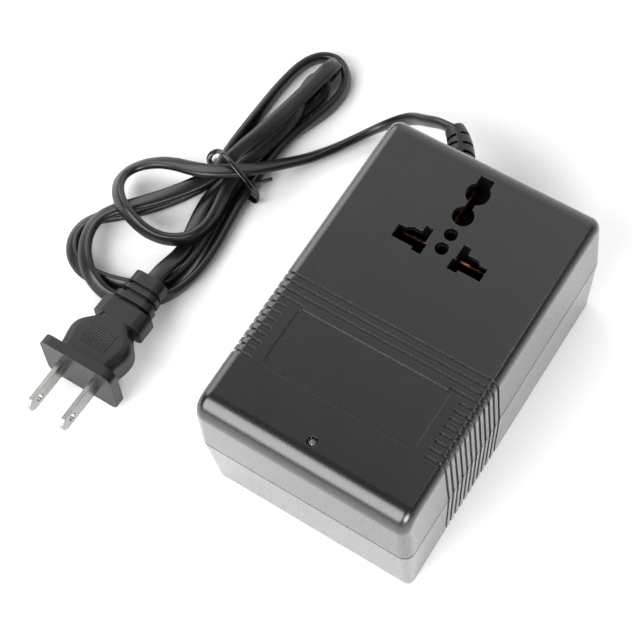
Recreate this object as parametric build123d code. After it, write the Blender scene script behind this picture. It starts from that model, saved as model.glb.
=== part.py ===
# Travel voltage converter: a two-shell plastic casing with a universal outlet on top, a transformer
# inside, and a flat mains cord on the rear wall that ends in a two-blade plug.
# Millimetres. Origin at the middle of the casing's underside, +Z up, +Y to the cord end.
import math
import os

from build123d import *

# Casing, as measured off the photograph
casing_length = 112.5
casing_width = 72.7
lower_height = 29.8
upper_height = 25.8
lower_draft = 2.54
upper_draft = 2.08
corner_radius = 3.4
front_edge_radius = 7.0
rear_edge_radius = 4.4
wall = 2.2
tongue_wall = 0.9
tongue_height = 1.5
seam_depth = 0.6
seam_height = 0.6
cut_over = 1.0
fit_gap = 0.15
seat_gap = 0.1

# Grip grooves round the middle of the casing
groove_count = 12
full_groove_count = 3
groove_pitch = 2.6
grooves_behind_label = 8.3
groove_width = 1.1
groove_depth = 0.8
short_groove_x = 28.8

# Label recess, left bare
label_width = 50.6
label_height = 20.4
label_end_space = 32.15
label_recess = 0.4
label_corner = 2.0

# Outlet openings in the top face, as distances from the middle of the cross slots
outlet_end_space = 34.65
pin_x = 6.35
slot_half = 1.3
slot_front = 3.3
slot_rear = 5.85
slot_foot_inner_x = 4.35
slot_foot_rear = 0.5
bar_outer_x = 14.9
bar_half = 2.3
shoulder_rear = 3.5
shoulder_outer_x = 12.5
shoulder_inner_x = 10.9
small_hole_radius = 2.1
small_hole_rear = 6.7
small_hole_front = 1.5
earth_big_radius = 3.75
earth_big_rear = 22.2
earth_small_radius = 3.35
earth_small_rear = 13.7
earth_neck_width = 2.5
earth_bar_width = 4.6
earth_bar_rear = 28.2

# Contact carrier under the top face, its spring contacts and its screws
carrier_width = 38.0
carrier_front = 7.0
carrier_rear = 30.0
carrier_height = 13.0
pocket_margin = 0.9
pocket_floor = 2.0
leaf_thickness = 0.6
leaf_height = 8.0
leaf_gap = 5.2
contact_inner_x = 4.7
contact_outer_x = 15.0
earth_front = 11.0
earth_rear = 25.4
tail_length = 6.0
tail_width = 2.4
carrier_post_radius = 2.6
carrier_post_length = 6.0
carrier_post_x = 14.6
carrier_post_near = 10.0
carrier_post_far = 24.4
carrier_screw_radius = 1.2
carrier_screw_length = 9.0
carrier_head_radius = 2.3
carrier_head_height = 1.5
screw_slot_width = 0.6

# Indicator lamp, its board and its resistor
lamp_end_space = 9.75
lamp_radius = 1.5
lamp_flange_radius = 1.9
lamp_flange_height = 1.0
lamp_length = 5.2
lamp_recess = 0.3
lamp_leg_width = 0.5
lamp_leg_length = 3.3
lamp_leg_pitch = 2.54
board_width = 17.0
board_depth = 9.0
board_thickness = 1.2
board_post_radius = 1.8
board_post_x = 6.2
board_stud_radius = 0.8
board_stud_length = 1.8
resistor_radius = 1.1
resistor_length = 6.2
resistor_offset = 2.6

# Casing screws and their pillars
pillar_side_space = 8.35
pillar_end_space = 8.25
pillar_radius = 4.4
counterbore_radius = 3.2
screw_radius = 1.5
screw_head_radius = 2.8
screw_head_height = 2.0
screw_head_z = 10.0
screw_length = 26.0
pilot_gap = 0.05

# Transformer: E and I laminations, coil former, two windings
core_side_space = 5.65
core_front_space = 16.5
core_rear_space = 48.5
core_floor_space = 9.8
core_stack = 26.0
core_hole_radius = 2.0
post_radius = 3.0
peg_length = 4.0
former_wall = 1.0
former_corner = 1.0
inner_winding_build = 3.4
outer_winding_build = 3.2
tape_build = 0.3
terminal_count = 4
terminal_pitch = 8.0
terminal_radius = 0.6
terminal_length = 5.0
terminal_rise = 18.6
cutout_radius = 2.0
cutout_length = 10.0
cutout_wire_length = 4.0

# Strain relief on the rear wall
relief_x = -16.0
relief_start_turn = 10.0
relief_end_turn = 52.0
relief_bend_radius = 26.4
relief_neck_length = 1.1
relief_droop = 5.0
relief_root_radius = 5.7
relief_tip_radius = 3.3
relief_neck_radius = 4.6
relief_flange_radius = 7.0
relief_flange_length = 2.0
relief_section_count = 7
relief_slot_width = 1.0
relief_inner_slot_shares = (0.24, 0.42, 0.59, 0.76)
relief_outer_slot_shares = (0.22, 0.4, 0.575, 0.78)
relief_web_half = 0.8
relief_core_radius = 2.3

# Plug on the cord's end, in its own frame: X across, Y back to the neck, Z up, origin at the face.
# The body's shares are of the plug's length and of the flange's half width and half height.
plug_x = -87.3
plug_y = -53.6
plug_z = 11.3
plug_pitch = -4.5
plug_length = 39.8
plug_flange_width = 27.4
plug_flange_height = 20.6
plug_flange_thickness = 3.4
plug_flange_corner = 3.2
plug_body_corner = 3.4
plug_body_shares = ((0.083, 0.832, 0.601), (0.276, 0.825, 0.583), (0.39, 0.75, 0.543),
                    (0.45, 0.6, 0.505), (0.55, 0.49, 0.456))
plug_rib_shares = ((0.525, 0.683, 0.679, 0.485), (0.724, 0.779, 0.533, 0.418),
                   (0.819, 0.862, 0.489, 0.398), (0.894, 1.0, 0.445, 0.389))
plug_rib_corner_share = 0.75
plug_neck_width = 9.2
plug_neck_height = 6.0
plug_neck_corner = 1.5
grip_count = 9
grip_pitch = 0.85
grip_length = 9.6
grip_first_y = 8.6
grip_radius = 0.3
blade_pitch = 12.7
blade_height = 6.35
blade_thickness = 1.5
blade_length = 17.4
blade_root_length = 7.0
blade_hole_radius = 1.5
blade_hole_from_tip = 4.8
blade_tip_chamfer = 1.6
bridge_width = 19.0
bridge_depth = 5.0
bridge_height = 8.0
bridge_y = 4.6

# Cord tie: a closed band across the hank, in an upright plane turned from X. Its shares are of its
# span and of its rise above its base.
tie_x = -87.95
tie_y = 34.6
tie_turn = -19.0
tie_base = 1.0
tie_span = 18.4
tie_rise = 13.1
tie_outline_shares = ((-0.5, 0.0), (0.52, 0.0), (0.52, 0.313), (0.25, 1.0), (-0.076, 1.0),
                      (-0.348, 0.68), (-0.5, 0.3))
tie_corner = 1.5
tie_thickness = 0.9
tie_width = 2.0
tie_eye_radius = 1.9
tie_eye_wire = 0.8
tie_eye_z = 5.0
tie_tail_z = 3.5
tie_tail_across = 1.9
tie_tail_rise = 5.5
tie_tail_back = 6.5

# Inner leads, hand-chosen between the strain relief, the terminals and the contact tails
lead_radius = 0.9
lamp_lead_radius = 0.6
line_in_route = ((-17.2, 46.0, 30.6), (-18.0, 36.0, 28.6), (-17.0, 22.0, 29.4), (-14.0, 13.6, 34.2),
                 (-12.0, 10.6, 40.8), (-12.0, 7.8, 43.6))
neutral_in_route = ((-13.6, 46.0, 30.4), (-9.4, 36.0, 27.4), (-5.2, 22.0, 26.6), (-4.0, 13.8, 32.6),
                    (-4.0, 10.8, 40.8), (-4.0, 7.8, 43.6))
line_out_route = ((4.0, 7.8, 43.6), (4.0, 11.0, 40.4), (2.0, 14.0, 36.0), (-4.0, 17.4, 33.4),
                  (-9.0, 20.6, 30.2), (-9.85, 21.6, 31.8))
neutral_out_route = ((12.0, 7.8, 43.6), (12.0, 11.0, 40.4), (11.4, 14.2, 35.6), (10.4, 18.8, 30.4),
                     (9.85, 21.6, 31.6))
lamp_lead_route = ((7.5, -39.5, 46.2), (9.6, -36.6, 47.6), (13.3, -32.4, 48.4), (14.2, -16.0, 48.8),
                   (14.2, -4.0, 48.4), (13.0, -0.2, 47.8), (12.0, 1.0, 46.0))

# Cord: the tube stands for a flat twin cord, 5.4 wide and 3.0 thick
cord_radius = 1.8
cord_straight = 4.0
fillet_share = 0.45
gap_step = 0.8
gap_skip = 9.0

# Route of the cord, chosen by hand from the photograph. The lead falls from the strain relief to
# the surface and runs to the hank. The hank goes over the bundle, once round the small loop, out
# to the short fold and back round the outer loop, out round the long loop, back round the inner
# loop, out to the high fold and back under it. The tail runs from there up to the plug.
lead_route = (
    (-34.0, 75.6, 25.6), (-38.2, 76.5, 21.2), (-42.6, 77.1, 16.6), (-47.2, 77.3, 11.8),
    (-51.9, 76.2, 7.3), (-56.4, 73.2, 3.8), (-60.8, 67.4, 2.2), (-64.6, 61.2, 2.0),
    (-67.9, 56.4, 2.1), (-71.2, 51.4, 3.1))
hank_route = (
    (-78.0, 41.2, 8.6), (-81.8, 37.3, 11.2), (-87.4, 33.6, 11.9), (-93.6, 31.0, 11.5),
    (-99.8, 29.4, 9.8), (-106.4, 27.2, 7.8), (-113.2, 24.2, 6.2), (-118.4, 19.4, 5.6),
    (-119.8, 13.6, 6.6), (-117.0, 8.0, 9.2), (-112.0, 3.6, 10.8), (-106.4, 1.2, 10.4),
    (-100.6, 0.2, 8.4), (-94.8, 0.9, 7.0), (-90.0, 3.0, 6.8), (-86.2, 6.2, 6.8),
    (-84.3, 11.0, 6.6), (-84.2, 17.0, 6.6), (-85.3, 23.2, 6.6), (-86.5, 29.2, 7.1),
    (-86.8, 35.0, 7.6), (-85.3, 41.5, 6.9), (-84.3, 49.0, 6.1), (-82.4, 57.5, 6.1),
    (-82.2, 65.0, 6.2), (-83.9, 69.8, 6.4), (-84.5, 73.8, 6.6), (-84.5, 77.6, 6.8),
    (-83.3, 80.0, 6.2), (-80.8, 80.2, 4.7), (-79.2, 77.6, 3.4), (-79.1, 73.8, 2.4),
    (-80.3, 69.6, 2.0), (-81.7, 66.4, 2.0), (-83.7, 60.4, 2.0), (-85.6, 54.0, 2.0),
    (-86.4, 47.0, 2.0), (-86.0, 40.0, 2.6), (-85.6, 33.6, 3.3), (-85.8, 26.6, 2.4),
    (-85.4, 19.0, 2.0), (-84.4, 10.8, 2.0), (-83.3, 3.0, 2.0), (-83.4, -4.4, 2.0),
    (-85.4, -11.2, 2.0), (-90.8, -15.6, 2.0), (-97.6, -18.3, 2.0), (-104.8, -20.2, 2.0),
    (-111.8, -20.6, 2.0), (-117.8, -18.2, 2.0), (-121.6, -13.4, 2.0), (-122.4, -7.6, 2.0),
    (-119.6, -2.2, 2.0), (-114.6, 2.2, 2.0), (-109.2, 7.8, 2.0), (-103.8, 14.6, 2.0),
    (-98.9, 21.6, 2.0), (-95.2, 28.6, 2.6), (-94.1, 35.6, 3.2), (-94.8, 43.4, 2.2),
    (-94.9, 51.8, 2.0), (-94.9, 60.4, 2.0), (-94.7, 69.0, 2.0), (-94.0, 77.2, 2.0),
    (-92.2, 84.6, 2.0), (-88.0, 89.8, 2.0), (-81.8, 91.0, 2.0), (-76.6, 87.2, 2.0),
    (-74.3, 80.8, 2.0), (-74.7, 74.0, 2.0), (-76.7, 67.2, 2.0), (-79.1, 60.6, 2.0),
    (-81.2, 53.8, 2.0), (-82.0, 46.8, 2.0), (-81.8, 39.8, 2.6), (-81.4, 33.0, 3.3),
    (-81.5, 25.8, 2.4), (-80.6, 18.0, 2.0), (-79.5, 9.8, 2.0), (-78.8, 1.6, 2.0),
    (-79.3, -6.6, 2.0), (-82.0, -13.8, 2.0), (-87.0, -19.3, 2.0), (-93.4, -22.6, 2.0),
    (-99.8, -24.0, 3.7), (-105.8, -22.6, 6.1), (-111.0, -19.0, 6.7), (-115.0, -14.2, 6.3),
    (-117.4, -8.4, 6.2), (-117.2, -2.4, 6.2), (-113.9, 2.9, 6.2), (-108.8, 8.3, 6.2),
    (-103.2, 14.7, 6.2), (-97.7, 21.6, 6.4), (-93.4, 28.4, 7.0), (-91.3, 35.0, 7.6),
    (-89.4, 41.4, 9.2), (-87.0, 48.4, 10.3), (-85.0, 56.4, 10.7), (-83.4, 64.4, 10.5),
    (-82.0, 72.4, 10.6), (-81.0, 79.2, 10.5), (-80.6, 83.2, 10.0), (-80.8, 86.4, 8.0),
    (-81.4, 87.0, 4.8), (-83.4, 84.6, 2.4), (-86.2, 80.4, 2.0), (-88.0, 75.0, 2.0),
    (-87.6, 67.6, 2.0), (-88.9, 59.6, 2.0), (-90.2, 52.0, 2.0), (-90.6, 44.2, 2.0),
    (-90.1, 37.4, 3.0), (-89.8, 31.4, 3.2), (-91.2, 25.6, 2.2), (-90.9, 18.0, 2.0))
tail_route = ((-87.7, 4.8, 2.1), (-87.2, 0.2, 3.4), (-87.1, -4.4, 5.8))

# Heights and places that follow from the sizes above
casing_height = lower_height + upper_height
label_y = label_end_space - casing_length / 2
first_groove_y = label_y + label_height / 2 + grooves_behind_label
outlet_y = casing_length / 2 - outlet_end_space
lamp_y = lamp_end_space - casing_length / 2
pillar_x = casing_width / 2 - pillar_side_space
pillar_y = casing_length / 2 - pillar_end_space
core_width = casing_width - 2 * wall - 2 * core_side_space
core_leg = core_width / 6
core_reach = (casing_length - core_front_space - core_rear_space) / 2
core_y = (core_front_space - core_rear_space) / 2
core_z = wall + core_floor_space + core_stack / 2
ceiling_z = casing_height - wall
carrier_top = ceiling_z - seat_gap
carrier_bottom = carrier_top - carrier_height
contact_floor = carrier_bottom + pocket_floor
tail_x = (contact_inner_x + contact_outer_x) / 2
earth_y = outlet_y + (earth_front + earth_rear) / 2
lamp_bottom = casing_height - lamp_recess - lamp_length
board_top = lamp_bottom - lamp_leg_length
core_top = core_z + core_stack / 2
window_end = core_reach - core_leg
core_hole_x = core_width / 2 - core_leg / 2
core_hole_y = core_reach - core_leg / 2
former_half = window_end - seat_gap
former_outer = seat_gap + former_wall
winding_half = former_half - former_wall - seat_gap
inner_winding_start = former_outer + seat_gap
outer_winding_start = inner_winding_start + inner_winding_build + seat_gap
tape_start = outer_winding_start + outer_winding_build + seat_gap
tape_top = core_top + tape_start + tape_build
terminal_y = core_y + former_half
terminal_z = core_z + terminal_rise
inner_corner_radius = corner_radius - wall
post_root = ceiling_z + wall / 4
relief_face_y = casing_length / 2 + seat_gap
lower_slope = math.tan(math.radians(lower_draft))
relief_flange_y = casing_length / 2 - wall - relief_flange_radius * lower_slope - seat_gap


def block(x, y, z):
    # Block between two values on each axis
    sizes = [high - low for low, high in (x, y, z)]
    middle = [(low + high) / 2 for low, high in (x, y, z)]
    return Pos(*middle) * Box(*sizes)


def upright(radius, bottom, top, x=0.0, y=0.0):
    return Pos(x, y, (bottom + top) / 2) * Cylinder(radius, top - bottom)


def along_y(radius, front, rear, x, z):
    return Pos(x, (front + rear) / 2, z) * Rot(90, 0, 0) * Cylinder(radius, rear - front)


def span(a, b):
    return (min(a, b), max(a, b))


# Casing


def lower_half(inset, height):
    # Lower half of the casing, from the parting plane down, brought in by an inset
    section = RectangleRounded(casing_width - 2 * inset, casing_length - 2 * inset, corner_radius - inset)
    return extrude(Pos(0, 0, lower_height) * section, amount=height, dir=(0, 0, -1), taper=lower_draft)


def upper_half(inset, height):
    # Upper half, with wide rounds over its two ends and narrow ones down its corners and along its sides
    sections = []
    for rise in (0, height):
        margin = inset + rise * math.tan(math.radians(upper_draft))
        section = Rectangle(casing_width - 2 * margin, casing_length - 2 * margin)
        sections.append(Pos(0, 0, lower_height + rise) * section)
    half = loft(sections)
    for way, radius in ((0, front_edge_radius), (-1, rear_edge_radius)):
        top_edges = half.edges().filter_by(Axis.X).group_by(Axis.Z)[-1]
        half = fillet(top_edges.sort_by(Axis.Y)[way], radius - inset)
    rims = [edge for edge in half.edges()
            if abs(edge.center().X) > casing_width / 4 and edge.center().Z > lower_height + fit_gap]
    return fillet(rims, corner_radius - inset)


def groove_slabs(bottom, top):
    # Slices of space in which the casing's skin is cut away
    reach = casing_width / 2 + cut_over
    slabs = []
    for index in range(groove_count):
        middle = first_groove_y - index * groove_pitch
        y = (middle - groove_width / 2, middle + groove_width / 2)
        if index < full_groove_count:
            slabs.append(block((-reach, reach), y, (bottom, top)))
            continue
        inner = label_width / 2 - cut_over if index == full_groove_count else short_groove_x
        slabs += [block(span(side * inner, side * reach), y, (bottom, top)) for side in (-1, 1)]
    return slabs


def grooves(skin, bottom, top):
    # Grooves of even depth that follow the casing's surface over its edge
    return [skin & slab for slab in groove_slabs(bottom, top)]


def pillar_places():
    return [(x, y) for x in (-pillar_x, pillar_x) for y in (-pillar_y, pillar_y)]


def core_hole_places():
    return [(x, core_y + y) for x in (-core_hole_x, core_hole_x) for y in (-core_hole_y, core_hole_y)]


def carrier_post_places():
    return [(x, y) for x in (-carrier_post_x, carrier_post_x)
            for y in (outlet_y + carrier_post_near, outlet_y + carrier_post_far)]


def relief_passage():
    # Hole through the rear wall for the strain relief's neck
    reach = 2 * wall
    return along_y(relief_neck_radius + seat_gap, casing_length / 2 - reach, casing_length / 2 + reach,
                   relief_x, lower_height)


def tongue(gap):
    # Lip of the lower shell, inside the upper shell's wall
    inset = wall - tongue_wall - gap
    corner = inner_corner_radius + tongue_wall
    outer = RectangleRounded(casing_width - 2 * inset, casing_length - 2 * inset, corner)
    inset = wall + gap
    inner = RectangleRounded(casing_width - 2 * inset, casing_length - 2 * inset, inner_corner_radius)
    return extrude(Pos(0, 0, lower_height) * (outer - inner), amount=tongue_height + gap)


def bottom_shell():
    shell = lower_half(0, lower_height)
    shell -= lower_half(wall, lower_height - wall)
    for x, y in pillar_places():
        shell += upright(pillar_radius, wall / 2, lower_height - seat_gap, x, y)
        shell -= upright(counterbore_radius, -cut_over, screw_head_z, x, y)
        shell -= upright(screw_radius + fit_gap, -cut_over, lower_height + cut_over, x, y)
    seat = core_z - core_stack / 2 - seat_gap
    for x, y in core_hole_places():
        shell += upright(post_radius, wall / 2, seat, x, y)
        shell += upright(core_hole_radius - fit_gap, seat, seat + peg_length, x, y)
    shell += tongue(0)
    shell -= relief_passage()
    skin = lower_half(0, lower_height) - lower_half(groove_depth, lower_height + cut_over)
    return shell - grooves(skin, -cut_over, lower_height)


def power_opening(side):
    # Blade slot, its foot, the cross slot and the shoulder behind it, mirrored by the side
    inner, outer = pin_x - slot_half, pin_x + slot_half
    blades = (((inner, outer), (-slot_front, slot_rear)),
              ((slot_foot_inner_x, outer), (-slot_front, slot_foot_rear)),
              ((inner, bar_outer_x), (-bar_half, bar_half)))
    outline = make_face(Polyline((inner, -bar_half), (shoulder_outer_x, -bar_half),
                                 (shoulder_outer_x, bar_half), (shoulder_inner_x, shoulder_rear),
                                 (inner, shoulder_rear), close=True))
    for x, y in blades:
        outline += Pos(sum(x) / 2, sum(y) / 2) * Rectangle(x[1] - x[0], y[1] - y[0])
    return outline if side > 0 else mirror(outline, Plane.YZ)


def outlet_openings():
    # All openings of the outlet, about the middle of the cross slots
    outline = power_opening(1) + power_opening(-1)
    for y in (small_hole_front, small_hole_rear):
        outline += Pos(0, y) * Circle(small_hole_radius)
    outline += Pos(0, earth_big_rear) * Circle(earth_big_radius)
    outline += Pos(0, earth_small_rear) * Circle(earth_small_radius)
    neck = earth_big_rear - earth_small_rear
    outline += Pos(0, earth_small_rear + neck / 2) * Rectangle(earth_neck_width, neck)
    bar = earth_bar_rear - earth_big_rear
    return outline + Pos(0, earth_big_rear + bar / 2) * Rectangle(earth_bar_width, bar)


def top_posts():
    # Pillars, posts and pegs that hang from the ceiling
    root = post_root
    seat = core_top + seat_gap
    posts = [upright(pillar_radius, lower_height, root, x, y) for x, y in pillar_places()]
    for x, y in core_hole_places():
        posts.append(upright(post_radius, seat, root, x, y))
        posts.append(upright(core_hole_radius - fit_gap, seat - peg_length, seat, x, y))
    for x, y in carrier_post_places():
        posts.append(upright(carrier_post_radius, carrier_top - carrier_post_length + seat_gap, root, x, y))
    for x in (-board_post_x, board_post_x):
        posts.append(upright(board_post_radius, board_top + seat_gap, root, x, lamp_y))
        posts.append(upright(board_stud_radius, board_top - board_stud_length, root, x, lamp_y))
    return posts


def top_shell():
    shell = upper_half(0, upper_height)
    shell -= upper_half(wall, upper_height - wall)
    shell += top_posts()
    for x, y in pillar_places():
        shell -= upright(screw_radius + pilot_gap, lower_height - cut_over,
                         screw_head_z + screw_length + cut_over, x, y)
    for x, y in carrier_post_places():
        shell -= upright(carrier_screw_radius + pilot_gap, carrier_bottom,
                         carrier_bottom + carrier_screw_length + cut_over, x, y)
    shell -= tongue(fit_gap)
    rim = Rectangle(casing_width + cut_over, casing_length + cut_over)
    rim -= RectangleRounded(casing_width - 2 * seam_depth, casing_length - 2 * seam_depth, corner_radius)
    shell -= extrude(Pos(0, 0, lower_height) * rim, amount=seam_height)
    shell -= relief_passage()
    recess = RectangleRounded(label_width, label_height, label_corner)
    shell -= extrude(Pos(0, label_y, casing_height - label_recess) * recess, amount=label_recess + cut_over)
    shell -= extrude(Pos(0, outlet_y, ceiling_z - cut_over) * outlet_openings(), amount=wall + 2 * cut_over)
    shell -= upright(lamp_radius + fit_gap, ceiling_z - cut_over, casing_height + cut_over, 0, lamp_y)
    skin = upper_half(0, upper_height) - upper_half(groove_depth, upper_height - groove_depth)
    return shell - grooves(skin, lower_height, casing_height + cut_over)


def casing_screw(x, y):
    top = screw_head_z + screw_length
    screw = upright(screw_radius, screw_head_z, top, x, y)
    screw += upright(screw_head_radius, screw_head_z - screw_head_height, screw_head_z, x, y)
    for size in ((screw_head_radius * 2, screw_slot_width), (screw_slot_width, screw_head_radius * 2)):
        screw -= Pos(x, y, screw_head_z - screw_head_height) * Box(*size, screw_head_height)
    return screw


# Outlet


def contact_pockets():
    outer = bar_outer_x + pocket_margin
    inner = contact_inner_x - pocket_margin
    top = carrier_top + cut_over
    y = (outlet_y - slot_front - pocket_margin, outlet_y + slot_rear + pocket_margin)
    pockets = [block(span(side * inner, side * outer), y, (contact_floor, top)) for side in (-1, 1)]
    x = earth_big_radius + pocket_margin
    y = (outlet_y + earth_small_rear - earth_small_radius - pocket_margin,
         outlet_y + earth_bar_rear + pocket_margin)
    return pockets + [block((-x, x), y, (contact_floor, top))]


def socket_carrier():
    y = (outlet_y - carrier_front, outlet_y + carrier_rear)
    carrier = block((-carrier_width / 2, carrier_width / 2), y, (carrier_bottom, carrier_top))
    carrier -= contact_pockets()
    for y in (small_hole_front, small_hole_rear):
        carrier -= upright(small_hole_radius, contact_floor, carrier_top + cut_over, 0, outlet_y + y)
    for x, y in ((-tail_x, outlet_y), (tail_x, outlet_y), (0, earth_y)):
        carrier -= Pos(x, y, carrier_bottom) * Box(tail_width + 2 * fit_gap, leaf_thickness + 2 * fit_gap,
                                                   4 * pocket_floor)
    for x, y in carrier_post_places():
        carrier -= upright(carrier_post_radius + seat_gap, carrier_top - carrier_post_length,
                           carrier_top + cut_over, x, y)
        carrier -= upright(carrier_screw_radius + fit_gap, carrier_bottom - cut_over, carrier_top, x, y)
    return carrier


def spring_contact(x, y, leaves):
    # Strip on the pocket's floor, two leaves and a tail through the floor
    top = contact_floor + leaf_thickness
    contact = block(x, y, (contact_floor, top))
    for leaf_x, leaf_y in leaves:
        contact += block(leaf_x, leaf_y, (contact_floor, contact_floor + leaf_height))
    middle_x, middle_y = sum(x) / 2, sum(y) / 2
    tail_x_span = (middle_x - tail_width / 2, middle_x + tail_width / 2)
    tail_y_span = (middle_y - leaf_thickness / 2, middle_y + leaf_thickness / 2)
    return contact + block(tail_x_span, tail_y_span, (carrier_bottom - tail_length, top))


def power_contact(side):
    x = span(side * contact_inner_x, side * contact_outer_x)
    near, far = leaf_gap / 2, leaf_gap / 2 + leaf_thickness
    leaves = [(x, span(outlet_y + way * near, outlet_y + way * far)) for way in (-1, 1)]
    return spring_contact(x, (outlet_y - far, outlet_y + far), leaves)


def earth_contact():
    y = (outlet_y + earth_front, outlet_y + earth_rear)
    near, far = leaf_gap / 2, leaf_gap / 2 + leaf_thickness
    leaves = [(span(way * near, way * far), y) for way in (-1, 1)]
    return spring_contact((-far, far), y, leaves)


def carrier_screw(x, y):
    screw = upright(carrier_screw_radius, carrier_bottom, carrier_bottom + carrier_screw_length, x, y)
    screw += upright(carrier_head_radius, carrier_bottom - carrier_head_height, carrier_bottom, x, y)
    slot = Box(carrier_head_radius * 2, screw_slot_width, carrier_head_height)
    return screw - Pos(x, y, carrier_bottom - carrier_head_height) * slot


# Indicator lamp


def lamp():
    straight_top = lamp_bottom + lamp_length - lamp_radius
    body = upright(lamp_radius, lamp_bottom, straight_top, 0, lamp_y)
    body += Pos(0, lamp_y, straight_top) * Sphere(lamp_radius)
    body += upright(lamp_flange_radius, lamp_bottom, lamp_bottom + lamp_flange_height, 0, lamp_y)
    half = lamp_leg_width / 2
    for x in (-lamp_leg_pitch / 2, lamp_leg_pitch / 2):
        body += block((x - half, x + half), (lamp_y - half, lamp_y + half), (board_top, lamp_bottom + half))
    return body


def lamp_board():
    board = block((-board_width / 2, board_width / 2), (lamp_y - board_depth / 2, lamp_y + board_depth / 2),
                  (board_top - board_thickness, board_top))
    for x in (-board_post_x, board_post_x):
        board -= upright(board_stud_radius + seat_gap, board_top - 2 * board_thickness,
                         board_top + board_thickness, x, lamp_y)
    return board


def lamp_resistor():
    body = Rot(0, 90, 0) * Cylinder(resistor_radius, resistor_length)
    return Pos(0, lamp_y + resistor_offset, board_top + resistor_radius) * body


# Transformer


def core_plate(y_low, y_high):
    y = (core_y + y_low, core_y + y_high)
    plate = block((-core_width / 2, core_width / 2), y, (core_z - core_stack / 2, core_top))
    for hole_x, hole_y in core_hole_places():
        plate -= upright(core_hole_radius, 0, casing_height, hole_x, hole_y)
    return plate


def core_e_stack():
    stack = core_plate(-core_reach, window_end)
    for side in (-1, 1):
        stack -= block(span(side * core_leg, side * 2 * core_leg),
                       (core_y - window_end, core_y + core_reach), (0, casing_height))
    return stack


def round_the_leg(start, build, half_length):
    # Rectangular sleeve on the core's middle leg, from one offset to the next
    place = Plane(origin=(0, core_y - half_length, core_z), x_dir=(1, 0, 0), z_dir=(0, 1, 0))
    outer = RectangleRounded(2 * (core_leg + start + build), core_stack + 2 * (start + build), former_corner)
    inner = Rectangle(2 * (core_leg + start), core_stack + 2 * start)
    return extrude(place * (outer - inner), amount=2 * half_length)


def coil_former():
    former = round_the_leg(seat_gap, former_wall, former_half)
    x = 2 * core_leg - seat_gap
    z = core_stack / 2 + core_leg - seat_gap
    hole_x = core_leg + seat_gap
    hole_z = core_stack / 2 + seat_gap
    for y in (core_y - former_half, core_y + former_half - former_wall):
        flange = block((-x, x), (y, y + former_wall), (core_z - z, core_z + z))
        flange -= block((-hole_x, hole_x), (y - former_wall, y + 2 * former_wall),
                        (core_z - hole_z, core_z + hole_z))
        former += flange
    return former


def terminal_xs():
    return [(index - (terminal_count - 1) / 2) * terminal_pitch for index in range(terminal_count)]


def thermal_cutout():
    body = Rot(0, 90, 0) * Cylinder(cutout_radius, cutout_length)
    body += Rot(0, 90, 0) * Cylinder(terminal_radius, cutout_length + 2 * cutout_wire_length)
    return Pos(0, core_y, tape_top + cutout_radius) * body


# Strain relief, leads and cord


def relief_plane(share):
    # Place on the strain relief's bent middle line, with its Z along the line
    start = math.radians(relief_start_turn)
    turn = start + math.radians(relief_end_turn - relief_start_turn) * share
    droop = math.radians(relief_droop * share)
    x = relief_x - relief_bend_radius * (math.cos(start) - math.cos(turn))
    y = relief_face_y + relief_neck_length + relief_bend_radius * (math.sin(turn) - math.sin(start))
    z = lower_height - relief_bend_radius * (turn - start) * math.tan(droop)
    along = (-math.sin(turn) * math.cos(droop), math.cos(turn) * math.cos(droop), -math.sin(droop))
    return Plane(origin=(x, y, z), x_dir=(math.cos(turn), math.sin(turn), 0), z_dir=along)


def relief_slot(share, side):
    # Slot on one side of the boot, down to its core and its central web
    reach = 2 * relief_root_radius
    slot = block(span(side * relief_web_half, side * reach), (-reach, reach),
                 (-relief_slot_width / 2, relief_slot_width / 2))
    slot -= Cylinder(relief_core_radius, relief_slot_width + cut_over)
    return relief_plane(share).location * slot


def strain_relief():
    sections = []
    for index in range(relief_section_count):
        share = index / (relief_section_count - 1)
        radius = relief_root_radius + (relief_tip_radius - relief_root_radius) * share
        sections.append(relief_plane(share) * Circle(radius))
    boot = loft(sections)
    boot -= [relief_slot(share, -1) for share in relief_inner_slot_shares]
    boot -= [relief_slot(share, 1) for share in relief_outer_slot_shares]
    neck_end = relief_face_y + 2 * relief_neck_length
    boot += along_y(relief_neck_radius, relief_flange_y, neck_end, relief_x, lower_height)
    inner_y = relief_flange_y - relief_flange_length
    return boot + along_y(relief_flange_radius, inner_y, relief_flange_y, relief_x, lower_height)


def tube_path(points):
    # Straight runs joined by tangent arcs, each as large as its two runs allow
    corners = [Vector(*point) for point in points]
    radii = []
    for before, corner, after in zip(corners, corners[1:], corners[2:]):
        turn = (corner - before).get_angle(after - corner)
        run = min((corner - before).length, (after - corner).length)
        radii.append(fillet_share * run / math.tan(math.radians(turn) / 2))
    return FilletPolyline(*corners, radius=radii), radii


def tube(points, radius):
    path, _ = tube_path(points)
    return sweep(Plane(origin=path @ 0, z_dir=path % 0) * Circle(radius), path=path)


def inner_leads():
    inlet_y = relief_flange_y - relief_flange_length
    tip_y = terminal_y + terminal_length
    tail_z = carrier_bottom - tail_length
    line_in, neutral_in, line_out, neutral_out = terminal_xs()

    def from_inlet(route, x):
        start_x, start_y, start_z = route[0]
        return tube(((start_x, inlet_y, start_z), *route, (x, tip_y, terminal_z)), lead_radius)

    def to_contact(route, x, end_x):
        return tube(((x, tip_y, terminal_z), *route, (end_x, outlet_y, tail_z)), lead_radius)

    return {"lead_line_in": from_inlet(line_in_route, line_in),
            "lead_neutral_in": from_inlet(neutral_in_route, neutral_in),
            "lead_line_out": to_contact(line_out_route, line_out, -tail_x),
            "lead_neutral_out": to_contact(neutral_out_route, neutral_out, tail_x)}


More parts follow.
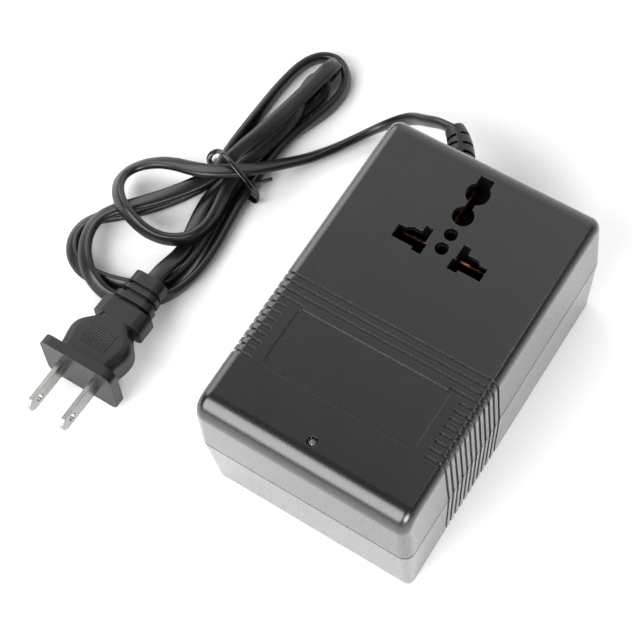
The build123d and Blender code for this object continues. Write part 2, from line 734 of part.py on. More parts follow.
def lamp_lead(side):
    # From the board's edge over the winding to an outer terminal
    first_x, _, first_z = lamp_lead_route[0]
    last_x, last_y, _ = lamp_lead_route[-1]
    start = (first_x, lamp_y + board_depth / 2, first_z)
    end = (last_x, last_y, terminal_z + terminal_radius)
    route = (start, *lamp_lead_route, end)
    return tube([(side * x, y, z) for x, y, z in route], lamp_lead_radius)


def cord_piece(name, points):
    path, radii = tube_path(points)
    piece = tube(points, cord_radius)
    share = piece.volume / (math.pi * cord_radius ** 2 * path.length)
    print(name, "length", round(path.length, 1), "volume share", round(share, 4))
    print("radii", [round(radius, 1) for radius in radii])
    return piece, path


def least_gap(path):
    # Least gap of the tube to itself, between points along its middle line
    count = int(path.length / gap_step)
    apart = int(gap_skip / gap_step)
    points = [path @ (index / count) for index in range(count + 1)]
    nearest = min((points[low] - points[high]).length
                  for low in range(count + 1) for high in range(low + apart, count + 1))
    return nearest - 2 * cord_radius


def cord():
    # The three stretches meet halfway along a straight run, so their faces lie flat on each other
    tip = relief_plane(1)
    relief_end = tip.origin
    relief_straight = tip.origin + tip.z_dir * cord_straight
    neck_end = (plug_location() * Pos(0, plug_length, 0)).position
    neck_straight = (plug_location() * Pos(0, plug_length + cord_straight, 0)).position
    first_join = (Vector(*lead_route[-1]) + Vector(*hank_route[0])) / 2
    second_join = (Vector(*hank_route[-1]) + Vector(*tail_route[0])) / 2
    lead, _ = cord_piece("cord_lead", (relief_end, relief_straight, *lead_route, first_join))
    hank, path = cord_piece("cord_hank", (first_join, *hank_route, second_join))
    tail, _ = cord_piece("cord_tail", (second_join, *tail_route, neck_straight, neck_end))
    print("hank's least gap to itself", round(least_gap(path), 2))
    return {"cord_lead": lead, "cord_hank": hank, "cord_tail": tail}


def cord_tie():
    turn = math.radians(tie_turn)
    across = Vector(math.cos(turn), math.sin(turn), 0)
    plane = Plane(origin=(tie_x, tie_y, 0), x_dir=across, z_dir=across.cross(Vector(0, 0, 1)))
    corners = [(s * tie_span, tie_base + z * tie_rise) for s, z in tie_outline_shares]
    inner = make_face(Polyline(*corners, close=True))
    inner = fillet(inner.vertices(), tie_corner)
    band = extrude(plane * (offset(inner, tie_thickness) - inner), amount=tie_width / 2, both=True)
    eye_x = corners[0][0] - tie_eye_radius - tie_eye_wire
    eye = Pos(eye_x, tie_eye_z, 0) * Torus(tie_eye_radius, tie_eye_wire)
    start = Vector(corners[1][0] + tie_thickness / 2, tie_tail_z, 0)
    way = Vector(tie_tail_across, tie_tail_rise, -tie_tail_back)
    tail_end = Plane(origin=start, z_dir=way) * Rectangle(tie_thickness, tie_thickness)
    tail = extrude(tail_end, amount=way.length)
    return band + plane.location * eye + plane.location * tail


# Plug


def plug_location():
    return Pos(plug_x, plug_y, plug_z) * Rot(plug_pitch, 0, 0)


def plug_section(y, width, height, corner):
    place = Plane(origin=(0, y, 0), x_dir=(1, 0, 0), z_dir=(0, 1, 0))
    return place * RectangleRounded(width, height, corner)


def plug_prism(y_low, y_high, width, height, corner):
    return extrude(plug_section(y_low, width, height, corner), amount=y_high - y_low, dir=(0, 1, 0))


def blade_blank(side):
    length = blade_length + blade_root_length
    middle = (blade_root_length - blade_length) / 2
    return Pos(side * blade_pitch / 2, middle, 0) * Box(blade_thickness, length, blade_height)


def plug_blade(side):
    blade = blade_blank(side)
    tip = blade.faces().sort_by(Axis.Y)[0]
    corner_edges = [edge for edge in tip.edges() if edge.length < blade_height / 2]
    blade = chamfer(corner_edges, blade_tip_chamfer)
    hole = Rot(0, 90, 0) * Cylinder(blade_hole_radius, 2 * blade_pitch)
    return blade - Pos(0, blade_hole_from_tip - blade_length, 0) * hole


def bridge_block():
    return Pos(0, bridge_y, 0) * Box(bridge_width, bridge_depth, bridge_height)


def body_half_height(y):
    # Half height of the plug's tapering body at a distance from its face
    stations = [(share_y * plug_length, share_z * plug_flange_height / 2)
                for share_y, _, share_z in plug_body_shares]
    for (low_y, low_z), (high_y, high_z) in zip(stations, stations[1:]):
        if y <= high_y:
            return low_z + (high_z - low_z) * (y - low_y) / (high_y - low_y)
    return stations[-1][1]


def plug_body():
    body = plug_prism(0, plug_flange_thickness, plug_flange_width, plug_flange_height, plug_flange_corner)
    stations = [plug_section(y * plug_length, x * plug_flange_width, z * plug_flange_height, plug_body_corner)
                for y, x, z in plug_body_shares]
    body += loft(stations)
    neck_start = (plug_body_shares[-2][0]) * plug_length
    body += plug_prism(neck_start, plug_length, plug_neck_width, plug_neck_height, plug_neck_corner)
    for low, high, x, z in plug_rib_shares:
        height = z * plug_flange_height
        body += plug_prism(low * plug_length, high * plug_length, x * plug_flange_width, height,
                           height / 2 * plug_rib_corner_share)
    for index in range(grip_count):
        y = grip_first_y + index * grip_pitch
        for side in (-1, 1):
            ridge = Rot(0, 90, 0) * Cylinder(grip_radius, grip_length)
            body += Pos(0, y, side * body_half_height(y)) * ridge
    body -= bridge_block()
    return body - [blade_blank(side) for side in (-1, 1)]


def plug_pieces():
    bridge = bridge_block() - [blade_blank(side) for side in (-1, 1)]
    pieces = {"plug_body": plug_body(), "plug_blade_left": plug_blade(-1),
              "plug_blade_right": plug_blade(1), "plug_blade_bridge": bridge}
    return {name: plug_location() * piece for name, piece in pieces.items()}


def all_parts():
    windings = {"inner_winding": (inner_winding_start, inner_winding_build),
                "outer_winding": (outer_winding_start, outer_winding_build),
                "winding_tape": (tape_start, tape_build)}
    pins = [along_y(terminal_radius, terminal_y, terminal_y + terminal_length, x, terminal_z)
            for x in terminal_xs()]
    return {
        "bottom_shell": bottom_shell(),
        "top_shell": top_shell(),
        "casing_screws": [casing_screw(x, y) for x, y in pillar_places()],
        "socket_carrier": socket_carrier(),
        "left_contact": power_contact(-1),
        "right_contact": power_contact(1),
        "earth_contact": earth_contact(),
        "socket_screws": [carrier_screw(x, y) for x, y in carrier_post_places()],
        "led": lamp(),
        "led_board": lamp_board(),
        "led_resistor": lamp_resistor(),
        "lamp_leads": [lamp_lead(side) for side in (-1, 1)],
        "core_e_stack": core_e_stack(),
        "core_i_stack": core_plate(window_end + seat_gap, core_reach),
        "coil_former": coil_former(),
        **{name: round_the_leg(*place, winding_half) for name, place in windings.items()},
        "terminal_pins": pins,
        "thermal_cutout": thermal_cutout(),
        **inner_leads(),
        "strain_relief": strain_relief(),
        **cord(),
        "cord_tie": cord_tie(),
        **plug_pieces(),
    }


os.makedirs("parts", exist_ok=True)
for name, shape in all_parts().items():
    pieces = shape if isinstance(shape, list) else [shape]
    solids = [solid for piece in pieces for solid in piece.solids()]
    export_step(Compound(children=solids) if len(solids) > 1 else solids[0], f"parts/{name}.step")
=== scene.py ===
import math

import bpy
import numpy as np
from mathutils import Matrix, Vector


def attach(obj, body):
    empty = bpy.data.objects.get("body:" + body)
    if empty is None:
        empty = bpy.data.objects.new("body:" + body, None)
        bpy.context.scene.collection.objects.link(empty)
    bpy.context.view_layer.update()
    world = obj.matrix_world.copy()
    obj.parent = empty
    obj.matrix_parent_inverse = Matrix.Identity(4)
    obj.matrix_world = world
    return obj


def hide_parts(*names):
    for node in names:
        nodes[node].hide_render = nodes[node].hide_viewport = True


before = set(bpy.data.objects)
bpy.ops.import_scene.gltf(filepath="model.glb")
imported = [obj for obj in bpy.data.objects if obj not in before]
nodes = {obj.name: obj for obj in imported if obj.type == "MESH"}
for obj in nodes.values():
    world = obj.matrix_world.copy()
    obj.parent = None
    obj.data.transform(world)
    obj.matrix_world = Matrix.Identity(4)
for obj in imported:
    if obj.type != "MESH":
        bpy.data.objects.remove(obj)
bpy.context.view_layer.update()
bpy.context.scene.view_settings.view_transform = "Standard"
print("frame loaded,", len(nodes), "CAD pieces")

# Grains, edges and bumps of the materials are given in millimetres, the rest in metres
mmPerMetre = 1000


# Colours are sRGB hex, the shaders want linear light
def linear(hexColour, alpha=1.0):
    parts = [int(hexColour[i:i + 2], 16) / 255 for i in (0, 2, 4)]
    return (*[((c + 0.055) / 1.055) ** 2.4 if c > 0.04045 else c / 12.92 for c in parts], alpha)


# Camera, at the angle of the photograph: degrees for the turns, millimetres for lens and sensor
cameraView = {
    "place": (0.11659, -0.16358, 0.48252),
    "azimuth": 42.046,
    "elevation": 64.773,
    "roll": -10.354,
    "lens": 92.9,
    "sensor": 36,
    "nearest": 0.01,
}


def makeCamera(view):
    azimuth, elevation, roll = (math.radians(view[k]) for k in ("azimuth", "elevation", "roll"))
    back = Vector((math.sin(azimuth) * math.cos(elevation), -math.cos(azimuth) * math.cos(elevation),
                   math.sin(elevation)))
    right = Vector((0, 0, 1)).cross(back).normalized()
    up = back.cross(right)
    rolledRight = math.cos(roll) * right + math.sin(roll) * up
    rolledUp = math.cos(roll) * up - math.sin(roll) * right
    data = bpy.data.cameras.new("camera")
    data.lens = view["lens"]
    data.sensor_width = view["sensor"]
    data.clip_start = view["nearest"]
    camera = bpy.data.objects.new("camera", data)
    bpy.context.scene.collection.objects.link(camera)
    turn = Matrix((rolledRight, rolledUp, back)).transposed().to_4x4()
    camera.matrix_world = Matrix.Translation(view["place"]) @ turn
    bpy.context.scene.camera = camera


makeCamera(cameraView)
print("camera placed")


# One node with its settings and its links. Settings give an input its value and links give it
# another node's output, both by the input's name or number.
def addNode(tree, kind, settings=None, links=None, **props):
    node = tree.nodes.new(kind)
    for name, value in props.items():
        setattr(node, name, value)
    for name, value in (settings or {}).items():
        node.inputs[name].default_value = value
    for name, socket in (links or {}).items():
        tree.links.new(socket, node.inputs[name])
    return node


# A material with its Principled shader, its tree and the object's own coordinates
def newMaterial(name, **settings):
    material = bpy.data.materials.new(name)
    material.use_nodes = True
    tree = material.node_tree
    shader = tree.nodes["Principled BSDF"]
    for key, value in settings.items():
        shader.inputs[key.replace("_", " ")].default_value = value
    place = addNode(tree, "ShaderNodeTexCoord").outputs["Object"]
    return material, tree, shader, place


# Two colours mixed by a pattern that runs from 0 to 1
def blendColours(tree, pattern, low, high, start=0.35, end=0.65):
    ramp = addNode(tree, "ShaderNodeValToRGB", links={"Fac": pattern})
    ramp.color_ramp.elements[0].position = start
    ramp.color_ramp.elements[0].color = linear(low)
    ramp.color_ramp.elements[1].position = end
    ramp.color_ramp.elements[1].color = linear(high)
    return ramp.outputs["Color"]


# Values from low to high where a socket runs from start to end, straight or with soft ends
def spread(tree, socket, start, end, low, high, kind="LINEAR"):
    settings = {"From Min": start, "From Max": end, "To Min": low, "To Max": high}
    node = addNode(tree, "ShaderNodeMapRange", settings, {"Value": socket}, interpolation_type=kind)
    return node.outputs["Result"]


# Noise over some coordinates, with its grains counted to the metre
def noiseAt(tree, place, scale, detail):
    noise = addNode(tree, "ShaderNodeTexNoise", {"Scale": scale, "Detail": detail}, {"Vector": place})
    return noise.outputs["Fac"]


# Edges that catch the light as if rounded by a radius, under a bump of some depth
def reliefNormal(tree, pattern, edge, samples, depth, strength):
    rounded = addNode(tree, "ShaderNodeBevel", {"Radius": edge / mmPerMetre}, samples=samples)
    settings = {"Strength": strength, "Distance": depth / mmPerMetre}
    bump = addNode(tree, "ShaderNodeBump", settings, {"Height": pattern, "Normal": rounded.outputs["Normal"]})
    return bump.outputs["Normal"]


# Where in a pattern the roughness goes from its low value to its high one
glossStart = 0.3
glossEnd = 0.7


plasticFinish = {"cloudSize": 14.0, "cloudDetail": 2.0, "grainDetail": 3.0, "edgeSamples": 6, "bump": 1.0}


# Moulded plastic: cloudy colour, uneven gloss, a fine grain and softly rounded edges
def mouldedPlastic(name, dark, light, gloss, grainSize, grainDepth, edge, **settings):
    material, tree, shader, place = newMaterial(name, **settings)
    finish = plasticFinish
    clouds = noiseAt(tree, place, mmPerMetre / finish["cloudSize"], finish["cloudDetail"])
    grain = noiseAt(tree, place, mmPerMetre / grainSize, finish["grainDetail"])
    tree.links.new(blendColours(tree, clouds, dark, light), shader.inputs["Base Color"])
    tree.links.new(spread(tree, grain, glossStart, glossEnd, *gloss), shader.inputs["Roughness"])
    normal = reliefNormal(tree, grain, edge, finish["edgeSamples"], grainDepth, finish["bump"])
    tree.links.new(normal, shader.inputs["Normal"])
    return material


metalFinish = {"streakDetail": 3.0, "edge": 0.1, "edgeSamples": 4, "depth": 0.006, "bump": 0.6}


# Metal: drawn or stamped, with streaks. How many there are to the metre is given for each axis, so
# that 400 is one for each 2.5 mm, and a smaller number on one axis draws them out along it.
def workedMetal(name, dark, light, gloss, streaks):
    material, tree, shader, place = newMaterial(name, Metallic=1.0)
    finish = metalFinish
    stretched = addNode(tree, "ShaderNodeMapping", {"Scale": streaks}, {"Vector": place}).outputs["Vector"]
    lines = noiseAt(tree, stretched, 1.0, finish["streakDetail"])
    tree.links.new(blendColours(tree, lines, dark, light), shader.inputs["Base Color"])
    tree.links.new(spread(tree, lines, glossStart, glossEnd, *gloss), shader.inputs["Roughness"])
    normal = reliefNormal(tree, lines, finish["edge"], finish["edgeSamples"], finish["depth"], finish["bump"])
    tree.links.new(normal, shader.inputs["Normal"])
    return material


# One material on each of the named CAD pieces
def dress(material, *names):
    for name in names:
        piece = nodes[name]
        piece.data.materials.clear()
        piece.data.materials.append(material)


# A surface of closed rings, one ring of corners after another, with a cap on each end
def surfaceFromRings(name, rings, material):
    count, around = rings.shape[:2]
    index = np.arange(count * around).reshape(count, around)
    turned = np.roll(index, -1, axis=1)
    quads = np.stack((index[:-1], index[1:], turned[1:], turned[:-1]), axis=-1)
    faces = quads.reshape(-1, 4).tolist()
    faces += [index[0].tolist(), index[-1][::-1].tolist()]
    mesh = bpy.data.meshes.new(name)
    mesh.from_pydata(rings.reshape(-1, 3).tolist(), [], faces)
    mesh.polygons.foreach_set("use_smooth", [True] * len(mesh.polygons))
    mesh.materials.append(material)
    mesh.update()
    piece = bpy.data.objects.new(name, mesh)
    bpy.context.scene.collection.objects.link(piece)
    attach(piece, "root")
    return piece


splineOrder = 3


# Points of the smooth line that a list of control points draws, as a clamped spline
def smoothLine(route, steps):
    data = bpy.data.curves.new("line", "CURVE")
    data.dimensions = "3D"
    spline = data.splines.new("NURBS")
    spline.points.add(len(route) - 1)
    spline.points.foreach_set("co", np.column_stack((route, np.ones(len(route)))).ravel())
    spline.order_u = splineOrder
    spline.use_endpoint_u = True
    spline.resolution_u = steps
    holder = bpy.data.objects.new("line", data)
    bpy.context.scene.collection.objects.link(holder)
    bpy.context.view_layer.update()
    line = bpy.data.meshes.new_from_object(holder)
    points = np.empty(len(line.vertices) * 3)
    line.vertices.foreach_get("co", points)
    bpy.data.objects.remove(holder)
    bpy.data.meshes.remove(line)
    return points.reshape(-1, 3)


# Cord: flat twin cord in black PVC, folded into a hank. It leaves the strain relief, passes under the
# tie, runs to and fro in the hank and ends in the plug.
cordSettings = {
    "width": 0.0054,
    "thickness": 0.0030,
    "length": 0.876,
    "flatness": 2.8,
    "around": 28,
    "steps": 8,
}
cordRoute = (
    (-0.02575, 0.07367, 0.02811), (-0.02770, 0.07370, 0.02780), (-0.0316, 0.0745, 0.0262),
    (-0.0369, 0.0751, 0.0224), (-0.0426, 0.0771, 0.0166), (-0.0472, 0.0773, 0.0118),
    (-0.0519, 0.0762, 0.0073), (-0.0564, 0.0732, 0.0042), (-0.0608, 0.0674, 0.0027),
    (-0.0646, 0.0612, 0.0025), (-0.0679, 0.0564, 0.0026), (-0.0712, 0.0514, 0.0034),
    (-0.0784, 0.0402, 0.0088), (-0.0822, 0.0354, 0.0110), (-0.0876, 0.0310, 0.0118),
    (-0.0938, 0.0277, 0.0115), (-0.0999, 0.0267, 0.0098), (-0.1064, 0.0262, 0.0078),
    (-0.1130, 0.0242, 0.0062), (-0.1184, 0.0194, 0.0056), (-0.1198, 0.0136, 0.0066),
    (-0.1170, 0.0080, 0.0092), (-0.1120, 0.0036, 0.0108), (-0.1064, 0.0012, 0.0104),
    (-0.1006, 0.0002, 0.0084), (-0.0948, 0.0009, 0.0070), (-0.0900, 0.0030, 0.0068),
    (-0.0862, 0.0062, 0.0068), (-0.0843, 0.0110, 0.0066), (-0.0842, 0.0170, 0.0066),
    (-0.0853, 0.0232, 0.0066), (-0.0865, 0.0292, 0.0071), (-0.0868, 0.0350, 0.0076),
    (-0.0853, 0.0415, 0.0069), (-0.0843, 0.0490, 0.0061), (-0.0824, 0.0575, 0.0061),
    (-0.0822, 0.0650, 0.0062), (-0.0839, 0.0698, 0.0064), (-0.0845, 0.0738, 0.0066),
    (-0.0845, 0.0776, 0.0068), (-0.0833, 0.0800, 0.0062), (-0.0808, 0.0802, 0.0047),
    (-0.0792, 0.0776, 0.0034), (-0.0791, 0.0738, 0.0026), (-0.0803, 0.0696, 0.0024),
    (-0.0817, 0.0664, 0.0024), (-0.0837, 0.0604, 0.0024), (-0.0856, 0.0540, 0.0024),
    (-0.0864, 0.0470, 0.0024), (-0.0860, 0.0400, 0.0027), (-0.0856, 0.0336, 0.0033),
    (-0.0858, 0.0266, 0.0027), (-0.0854, 0.0190, 0.0024), (-0.0844, 0.0108, 0.0024),
    (-0.0833, 0.0030, 0.0024), (-0.0834, -0.0044, 0.0026), (-0.0854, -0.0112, 0.0028),
    (-0.0908, -0.0156, 0.0028), (-0.0976, -0.0183, 0.0028), (-0.1048, -0.0202, 0.0028),
    (-0.1118, -0.0206, 0.0028), (-0.1178, -0.0182, 0.0028), (-0.1216, -0.0134, 0.0028),
    (-0.1224, -0.0076, 0.0028), (-0.1196, -0.0022, 0.0026), (-0.1146, 0.0022, 0.0024),
    (-0.1092, 0.0078, 0.0022), (-0.1038, 0.0146, 0.0022), (-0.0989, 0.0216, 0.0024),
    (-0.0952, 0.0286, 0.0028), (-0.0941, 0.0356, 0.0032), (-0.0948, 0.0434, 0.0028),
    (-0.0949, 0.0518, 0.0028), (-0.0949, 0.0604, 0.0028), (-0.0947, 0.0690, 0.0028),
    (-0.0940, 0.0772, 0.0028), (-0.0922, 0.0846, 0.0028), (-0.0880, 0.0898, 0.0028),
    (-0.0818, 0.0910, 0.0028), (-0.0766, 0.0872, 0.0028), (-0.0743, 0.0808, 0.0028),
    (-0.0747, 0.0740, 0.0028), (-0.0767, 0.0672, 0.0028), (-0.0791, 0.0606, 0.0026),
    (-0.0812, 0.0538, 0.0024), (-0.0820, 0.0468, 0.0024), (-0.0818, 0.0398, 0.0027),
    (-0.0814, 0.0330, 0.0033), (-0.0815, 0.0258, 0.0026), (-0.0806, 0.0180, 0.0024),
    (-0.0795, 0.0098, 0.0024), (-0.0788, 0.0016, 0.0024), (-0.0793, -0.0066, 0.0026),
    (-0.0820, -0.0138, 0.0028), (-0.0870, -0.0193, 0.0028), (-0.0934, -0.0226, 0.0030),
    (-0.0998, -0.0240, 0.0040), (-0.1058, -0.0226, 0.0064), (-0.1110, -0.0190, 0.0070),
    (-0.1150, -0.0142, 0.0068), (-0.1174, -0.0084, 0.0066), (-0.1172, -0.0024, 0.0064),
    (-0.1139, 0.0029, 0.0062), (-0.1088, 0.0083, 0.0060), (-0.1032, 0.0147, 0.0060),
    (-0.0977, 0.0216, 0.0064), (-0.0934, 0.0284, 0.0070), (-0.0913, 0.0350, 0.0076),
    (-0.0894, 0.0414, 0.0092), (-0.0870, 0.0484, 0.0103), (-0.0850, 0.0564, 0.0107),
    (-0.0834, 0.0644, 0.0105), (-0.0820, 0.0724, 0.0106), (-0.0810, 0.0792, 0.0105),
    (-0.0806, 0.0832, 0.0100), (-0.0808, 0.0864, 0.0080), (-0.0812, 0.0868, 0.0048),
    (-0.0826, 0.0846, 0.0024), (-0.0842, 0.0804, 0.0018), (-0.0849, 0.0750, 0.0016),
    (-0.0862, 0.0676, 0.0016), (-0.0884, 0.0596, 0.0016), (-0.0902, 0.0520, 0.0018),
    (-0.0906, 0.0442, 0.0022), (-0.0901, 0.0374, 0.0030), (-0.0898, 0.0314, 0.0032),
    (-0.0912, 0.0256, 0.0022), (-0.0909, 0.0180, 0.0018), (-0.0877, 0.0048, 0.0021),
    (-0.0872, 0.0002, 0.0034), (-0.0871, -0.0044, 0.0058), (-0.08730, -0.00993, 0.00787),
    (-0.08730, -0.01392, 0.00818))

# How the flat cord leans, in degrees from lying flat, at some of the route's points by number
cordLean = (
    (0, 75), (4, 70), (8, 55), (11, 35), (13, 15), (15, 12), (17, 25), (19, 45), (21, 50), (23, 65),
    (25, 80), (28, 80), (31, 50), (34, 45), (37, 60), (39, 85), (41, 90), (43, 75), (46, 45), (53, 45),
    (55, 80), (57, 120), (59, 140), (63, 142), (65, 160), (67, 185), (69, 215), (71, 230), (73, 262),
    (75, 278), (79, 280), (82, 270), (84, 240), (86, 225), (90, 225), (93, 260), (95, 300), (98, 322),
    (101, 325), (103, 345), (105, 362), (107, 380), (109, 368), (112, 363), (118, 362), (121, 365),
    (124, 395), (126, 385), (128, 364), (130, 362), (132, 360))


# Ring of a flat cord: a superellipse, |x/a|^n + |y/b|^n = 1, where a and b are half the width and the
# thickness and n is the flatness. It is flat on its broad faces and round on its narrow ones.
def flatSection(settings):
    angle = np.linspace(0, 2 * np.pi, settings["around"], endpoint=False) + np.pi / settings["around"]
    power = 2 / settings["flatness"]
    x = np.sign(np.cos(angle)) * np.abs(np.cos(angle)) ** power * settings["width"] / 2
    y = np.sign(np.sin(angle)) * np.abs(np.sin(angle)) ** power * settings["thickness"] / 2
    return x, y


# Flat rings along a smooth line, each square to the line. The wide axis is cos(lean) times the level
# direction square to the line plus sin(lean) times the direction square to both, and its sign is
# turned where it would swap sides from one point to the next.
def sweepFlat(settings, route, leans):
    path = smoothLine(route, settings["steps"])
    forward = np.gradient(path, axis=0)
    forward /= np.linalg.norm(forward, axis=1, keepdims=True)
    number = np.linspace(0, len(route) - 1, len(path))
    control = np.arange(len(route))
    routeForward = np.gradient(np.array(route), axis=0)
    routeForward /= np.linalg.norm(routeForward, axis=1, keepdims=True)
    level = np.cross((0, 0, 1), routeForward)
    level /= np.linalg.norm(level, axis=1, keepdims=True)
    lean = np.radians(np.interp(control, [n for n, _ in leans], [a for _, a in leans]))[:, None]
    wide = np.cos(lean) * level + np.sin(lean) * np.cross(routeForward, level)
    keep = np.cumprod(np.where((wide[1:] * wide[:-1]).sum(axis=1) < 0, -1, 1))
    wide[1:] *= keep[:, None]
    side = np.column_stack([np.interp(number, control, wide[:, i]) for i in range(3)])
    side -= (side * forward).sum(axis=1, keepdims=True) * forward
    side /= np.linalg.norm(side, axis=1, keepdims=True)
    upward = np.cross(forward, side)
    x, y = flatSection(settings)
    rings = path[:, None] + x[None, :, None] * side[:, None] + y[None, :, None] * upward[:, None]
    return path, rings


# Cord sheath: soft PVC, extruded, so black and smooth with a broad satin shine
softPvc = mouldedPlastic("soft_pvc", "08080a", "0c0c0d", (0.3, 0.4), 0.4, 0.001, 0.15, IOR=1.52)
cordPath, cordRings = sweepFlat(cordSettings, cordRoute, cordLean)
cord = surfaceFromRings("mains_cord", cordRings, softPvc)
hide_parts("cord_lead", "cord_hank", "cord_tail")
print("cord laid,", round(np.linalg.norm(np.diff(cordPath, axis=0), axis=1).sum() * 1000), "mm")

# Tie: a flat wire in PVC, wound once round the hank, with a small eye on the left and a free tail
tieSettings = {"width": 0.0019, "thickness": 0.0010, "flatness": 2.3, "around": 14, "steps": 10}
tieRoute = (
    (-0.0868, 0.0336, 0.0004), (-0.0790, 0.0306, 0.0005), (-0.0764, 0.0306, 0.0018),
    (-0.0766, 0.0315, 0.0050), (-0.0780, 0.0310, 0.0092), (-0.0802, 0.0312, 0.0121),
    (-0.0832, 0.0320, 0.0138), (-0.0876, 0.0335, 0.0147), (-0.0910, 0.0346, 0.0140),
    (-0.0934, 0.0360, 0.0122), (-0.0956, 0.0362, 0.0108), (-0.0972, 0.0346, 0.0096),
    (-0.0968, 0.0326, 0.0084), (-0.0946, 0.0322, 0.0078), (-0.0932, 0.0336, 0.0080),
    (-0.0944, 0.0352, 0.0066), (-0.0970, 0.0356, 0.0046), (-0.0974, 0.0358, 0.0022),
    (-0.0960, 0.0362, 0.0006), (-0.0916, 0.0352, 0.0004), (-0.0868, 0.0336, 0.0004))
tieLean = ((0, 0), (20, 0))
tailRoute = (
    (-0.0822, 0.0318, 0.0104), (-0.0800, 0.0320, 0.0096), (-0.0786, 0.0332, 0.0084),
    (-0.0779, 0.0356, 0.0064), (-0.0772, 0.0378, 0.0046), (-0.0766, 0.0396, 0.0034))
tailLean = ((0, 0), (5, 60))
tailSettings = dict(tieSettings, width=0.0013, thickness=0.0008)
# Tie sheath: thin PVC drawn over a wire, glossier than the cord
tiePvc = mouldedPlastic("tie_pvc", "0c0c0d", "121213", (0.16, 0.26), 0.5, 0.002, 0.05, IOR=1.52)
tie = surfaceFromRings("tie_wire", sweepFlat(tieSettings, tieRoute, tieLean)[1], tiePvc)
tail = surfaceFromRings("tie_tail", sweepFlat(tailSettings, tailRoute, tailLean)[1], tiePvc)
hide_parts("cord_tie")
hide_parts("cord_tie")
print("tie wound")

# Casing: ABS moulded in a finely spark-eroded tool, which leaves a satin face with a fine grain
blackAbs = mouldedPlastic("moulded_black_abs", "0f0f10", "121214", (0.22, 0.32), 0.35, 0.008, 0.3, IOR=1.54,
                          Coat_Weight=0.6, Coat_Roughness=0.25)
dress(blackAbs, "top_shell", "bottom_shell")
# Plug and strain relief: a harder PVC moulded over the cord, duller than the cord itself
hardPvc = mouldedPlastic("moulded_pvc", "070708", "0b0b0c", (0.36, 0.46), 0.5, 0.0008, 0.25, IOR=1.46)
dress(hardPvc, "strain_relief", "plug_body")
# Bobbin and bridge: nylon, injection moulded, cream and dull
nylon = mouldedPlastic("moulded_nylon", "d8d4c6", "e2dfd3", (0.35, 0.5), 0.8, 0.01, 0.2, IOR=1.53)
dress(nylon, "coil_former", "plug_blade_bridge")
# Contact carrier: phenolic resin, pressed hot, nearly black and matt
phenolic = mouldedPlastic("moulded_phenolic", "141312", "1d1b19", (0.4, 0.55), 0.8, 0.01, 0.2, IOR=1.6)
dress(phenolic, "socket_carrier")

# Spring contacts: phosphor bronze strip, with painted shade: dark below a height, where the openings are in
# shade, and the metal's own colour at the leaves' tops
bronze = workedMetal("phosphor_bronze", "a86a4c", "cf8a66", (0.2, 0.34), (900, 900, 200))
depthShadeSettings = {"shadeColour": "1d0f0b", "start": 0.0475, "end": 0.0502}


# Painted shade: colour that is dark up to one height of the part and the metal's own above another
def paintShadeBelow(material, settings):
    tree = material.node_tree
    colour = tree.nodes["Principled BSDF"].inputs["Base Color"]
    place = addNode(tree, "ShaderNodeTexCoord").outputs["Object"]
    height = addNode(tree, "ShaderNodeSeparateXYZ", links={"Vector": place}).outputs["Z"]
    unshadedShare = spread(tree, height, settings["start"], settings["end"], 0.0, 1.0, "SMOOTHSTEP")
    shadedMix = addNode(tree, "ShaderNodeMix", {"A": linear(settings["shadeColour"])}, data_type="RGBA")
    tree.links.new(colour.links[0].from_socket, shadedMix.inputs["B"])
    tree.links.new(unshadedShare, shadedMix.inputs["Factor"])
    tree.links.new(shadedMix.outputs["Result"], colour)


# Painted shade on the contacts: their lower parts are darkened, deep inside the openings
paintShadeBelow(bronze, depthShadeSettings)
dress(bronze, "left_contact", "right_contact", "earth_contact")

# Small hardware: steel, zinc plated, a pale even grey
zinc = workedMetal("zinc_plated_steel", "a8a9ab", "c9cacb", (0.25, 0.4), (400, 400, 400))
dress(zinc, "socket_screws", "thermal_cutout", "terminal_pins")
# Casing screws: steel blackened by oxide
oxide = workedMetal("black_oxide_steel", "1f1f21", "343437", (0.35, 0.5), (400, 400, 400))
dress(oxide, "casing_screws")
# Blades: stamped brass, nickel plated, with streaks nearly along the blades
nickel = workedMetal("nickel_plated_brass", "8f8d8b", "a09e9c", (0.2, 0.32), (1500, 120, 900))
dress(nickel, "plug_blade_left", "plug_blade_right")
# Core: stamped and varnished silicon steel sheets, seen as fine layers
laminations = workedMetal("varnished_laminations", "3c3d40", "6a6b6e", (0.35, 0.55), (60, 60, 2000))
dress(laminations, "core_e_stack", "core_i_stack")
# Windings: copper wire in clear enamel, wound in turns that show as fine lines
copper = workedMetal("enamelled_copper", "7a3b16", "b9652d", (0.25, 0.4), (60, 60, 2500))
dress(copper, "inner_winding", "outer_winding")
# Winding tape: yellow polyester film, smooth and shiny
tape = mouldedPlastic("polyester_tape", "d9b325", "e8c53a", (0.2, 0.3), 2.0, 0.02, 0.1)
dress(tape, "winding_tape")
# Lamp board: paper laminate, cut from sheet, brown and dull
board = mouldedPlastic("paper_laminate", "8a6a35", "a07f47", (0.4, 0.5), 0.6, 0.01, 0.1)
dress(board, "led_board")
# Resistor: beige lacquer, dipped, with a slight gloss
lacquer = mouldedPlastic("resistor_lacquer", "b99a6a", "c9ab7b", (0.2, 0.3), 0.8, 0.01, 0.1)
dress(lacquer, "led_resistor")
# Wire insulation: extruded PVC in three colours, all with the same satin shine
wireFinish = ((0.3, 0.4), 0.6, 0.005, 0.1)
dress(mouldedPlastic("red_pvc_insulation", "8c1f18", "a3281f", *wireFinish), "lamp_leads")
dress(mouldedPlastic("white_pvc_insulation", "dcdcd8", "e8e8e4", *wireFinish),
      "lead_neutral_in", "lead_neutral_out")
dress(mouldedPlastic("black_pvc_insulation", "111112", "181819", *wireFinish),
      "lead_line_in", "lead_line_out")
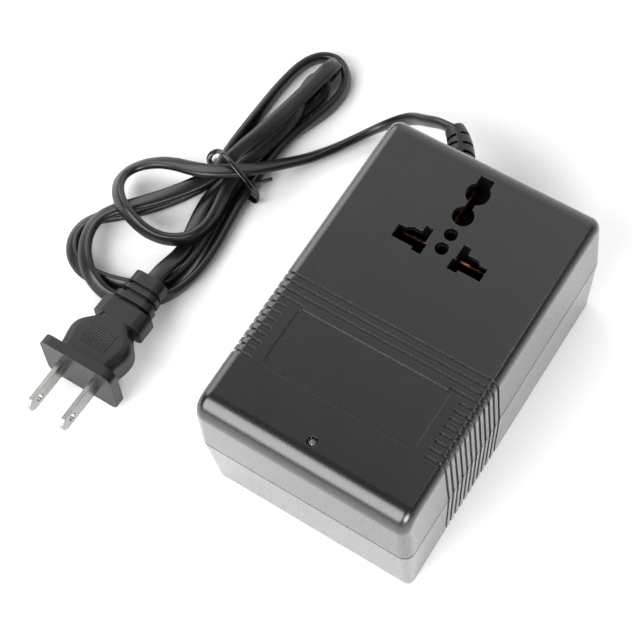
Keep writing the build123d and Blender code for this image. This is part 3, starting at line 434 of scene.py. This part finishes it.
# Indicator lamp: clear epoxy, cast, glassy and almost colourless
clear = mouldedPlastic("clear_epoxy_lens", "dfe3e2", "eef1f0", (0.05, 0.1), 1.0, 0.002, 0.1,
                       Transmission_Weight=0.9, IOR=1.5)
dress(clear, "led")
print("materials on", len(nodes), "CAD pieces")

# Floor and light: white paper in a room with bright low walls, a dark ceiling, a darker left side
# and a glow behind, and four soft lamps that point at the middle
stageSettings = {
    "floorSize": 6.0,
    "floorColour": "f4f4f4",
    "floorRoughness": 0.9,
    "wallLight": 1.0,
    "ceilingLight": 0.06,
    "wallTop": 0.05,
    "ceilingStart": 0.5,
    "leftDark": {"from": -0.75, "to": -0.2, "least": 0.12},
    "glow": {"toward": (0.0, 0.8, 0.6), "start": 0.65, "strength": 1.2},
    "lamps": {
        "softbox": {"place": (-0.343, -0.84, 0.78), "size": 1.05, "power": 19.0},
        "key": {"place": (-0.70, 0.25, 0.50), "size": 0.75, "power": 4.5},
        "side": {"place": (0.45, -0.42, 0.42), "size": 0.40, "power": 5.0},
        "rim": {"place": (0.50, 0.32, 0.80), "size": 0.15, "power": 0.22},
    },
}


def makeFloor(settings):
    half = settings["floorSize"] / 2
    mesh = bpy.data.meshes.new("floor")
    corners = [(-half, -half, 0), (half, -half, 0), (half, half, 0), (-half, half, 0)]
    mesh.from_pydata(corners, [], [(0, 1, 2, 3)])
    floor = bpy.data.objects.new("floor", mesh)
    bpy.context.scene.collection.objects.link(floor)
    material, _, shader, _ = newMaterial("white_paper", Roughness=settings["floorRoughness"],
                                         Specular_IOR_Level=0.0)
    shader.inputs["Base Color"].default_value = linear(settings["floorColour"])
    mesh.materials.append(material)


# Strength of the world's light by direction: walls by height, less on the left, plus the glow
def makeRoom(settings):
    world = bpy.data.worlds.new("studio")
    world.use_nodes = True
    tree = world.node_tree
    direction = addNode(tree, "ShaderNodeTexCoord").outputs["Generated"]
    axes = addNode(tree, "ShaderNodeSeparateXYZ", links={"Vector": direction}).outputs
    walls = spread(tree, axes["Z"], settings["wallTop"], settings["ceilingStart"],
                   settings["wallLight"], settings["ceilingLight"], "SMOOTHSTEP")
    left = settings["leftDark"]
    leftShare = spread(tree, axes["X"], left["from"], left["to"], left["least"], 1.0, "SMOOTHSTEP")
    shaded = addNode(tree, "ShaderNodeMath", links={0: walls, 1: leftShare}, operation="MULTIPLY")
    glow = settings["glow"]
    nearness = addNode(tree, "ShaderNodeVectorMath", {1: glow["toward"]}, {0: direction},
                       operation="DOT_PRODUCT")
    spot = spread(tree, nearness.outputs["Value"], glow["start"], 1.0, 0.0, glow["strength"], "SMOOTHSTEP")
    total = addNode(tree, "ShaderNodeMath", links={0: shaded.outputs["Value"], 1: spot}, operation="ADD")
    background = tree.nodes["Background"]
    background.inputs["Color"].default_value = (1, 1, 1, 1)
    tree.links.new(total.outputs["Value"], background.inputs["Strength"])
    bpy.context.scene.world = world


def makeLamps(lamps):
    for name, settings in lamps.items():
        data = bpy.data.lights.new(name, "AREA")
        data.shape = "DISK"
        data.size = settings["size"]
        data.energy = settings["power"]
        lamp = bpy.data.objects.new(name, data)
        bpy.context.scene.collection.objects.link(lamp)
        place = Vector(settings["place"])
        turn = place.to_track_quat("Z", "Y").to_matrix().to_4x4()
        lamp.matrix_world = Matrix.Translation(place) @ turn
        lamp.visible_camera = False


makeFloor(stageSettings)
makeRoom(stageSettings)
makeLamps(stageSettings["lamps"])
print("stage ready")
